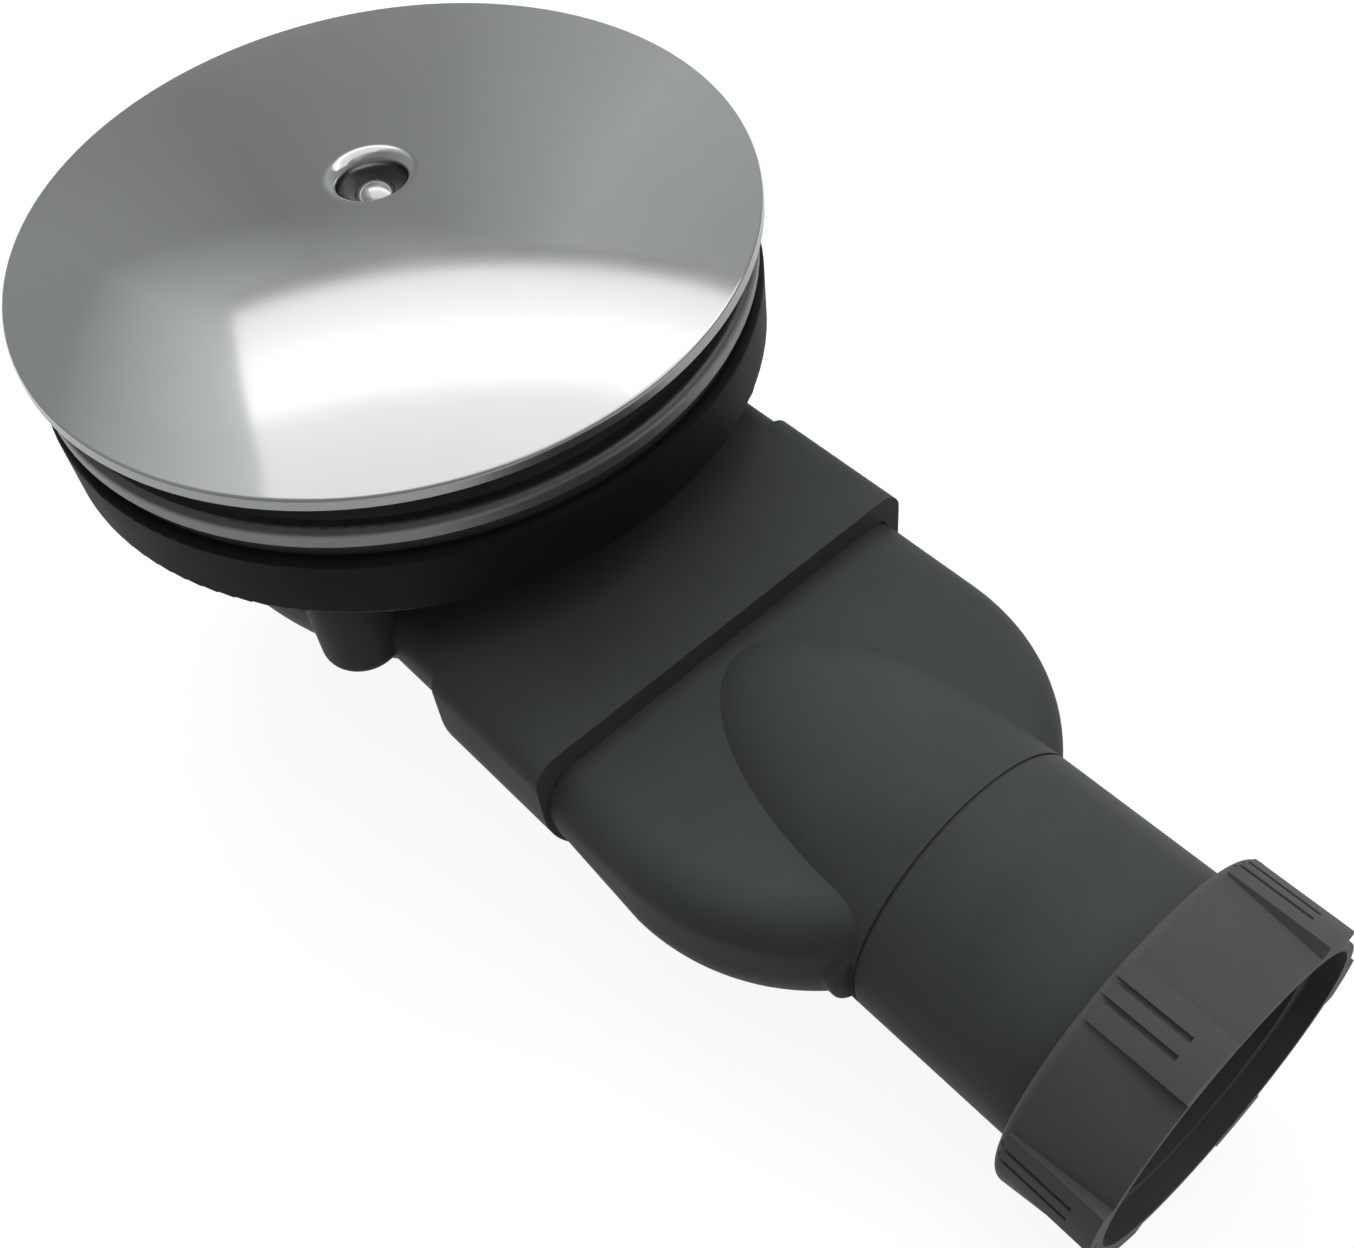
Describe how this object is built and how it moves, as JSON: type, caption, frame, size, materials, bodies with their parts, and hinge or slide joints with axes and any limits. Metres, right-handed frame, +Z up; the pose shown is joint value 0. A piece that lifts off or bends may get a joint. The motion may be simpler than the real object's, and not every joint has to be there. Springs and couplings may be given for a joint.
{
  "type": "floor drain",
  "caption": "Shower or floor drain with a domed chrome cover on a dished flange, a trap bowl, a flat side channel and an outlet pipe with a compression nut.",
  "frame": {"origin": "drain axis at the underside of the chrome flange, where it bears on the floor or tray", "axes": "+Z up along the drain axis, +X along the outlet pipe towards the nut"},
  "size_m": [0.23, 0.12, 0.0909],
  "materials": {
    "chrome": "polished chrome plate",
    "screw_steel": "bright stainless steel",
    "body_plastic": "moulded dark grey plastic, fine satin",
    "nut_plastic": "moulded dark grey plastic, fine satin",
    "insert_plastic": "moulded dark grey plastic",
    "rubber": "soft black rubber",
    "brass": "turned brass"
  },
  "bodies": {
    "drain": {"dome_cover": "chrome", "cover_screw": "screw_steel", "flange_ring": "chrome", "flange_seal": "rubber", "body_seal": "rubber", "dip_tube": "insert_plastic", "dip_tube_o_ring": "rubber", "strainer": "insert_plastic", "pillar_insert": "brass", "trap_body": "body_plastic", "outlet_chamber": "body_plastic", "pipe_seal": "rubber"},
    "washer": {"slip_washer": "insert_plastic"},
    "nut": {"outlet_nut": "nut_plastic"}
  },
  "joints": [
    {"name": "nut_travel", "type": "slide", "parent": "drain", "child": "washer", "axis": [1, 0, 0], "range_m": [0, 0.007]},
    {"name": "nut_turn", "type": "hinge", "parent": "washer", "child": "nut", "pos_m": [0.162, 0, -0.0434], "axis": [1, 0, 0], "range_deg": [0, 1080]}
  ],
  "couplings": [
    {"joint": "nut_travel", "follows": "nut_turn", "m_per_rad": 0.0003675}
  ]
}
